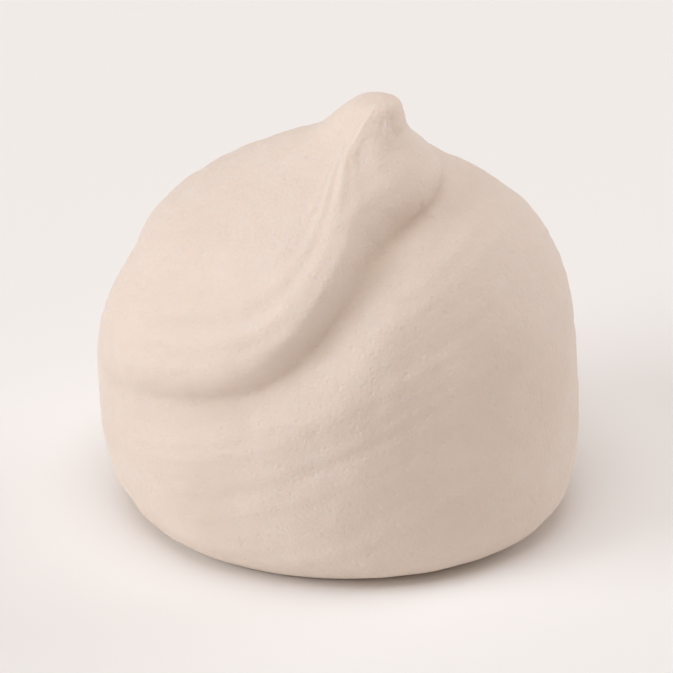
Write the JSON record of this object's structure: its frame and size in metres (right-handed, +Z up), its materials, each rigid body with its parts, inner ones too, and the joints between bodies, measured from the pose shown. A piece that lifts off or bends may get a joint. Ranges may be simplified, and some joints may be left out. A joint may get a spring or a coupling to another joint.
{
  "type": "meringue cookie",
  "caption": "Small piped meringue kiss: a round drop on a flat base, with one lapping fold winding up to a short blunt tip that leans to one side.",
  "frame": {"origin": "middle of the flat base, straight below the middle of the bounding box", "axes": "+Z up the piping axis from the flat base to the tip, -Y towards the side where the fold climbs, +X to that side's right"},
  "size_m": [0.0174, 0.0164, 0.016],
  "materials": {
    "meringue": null
  },
  "bodies": {
    "root": {"meringue": "meringue"}
  },
  "joints": []
}
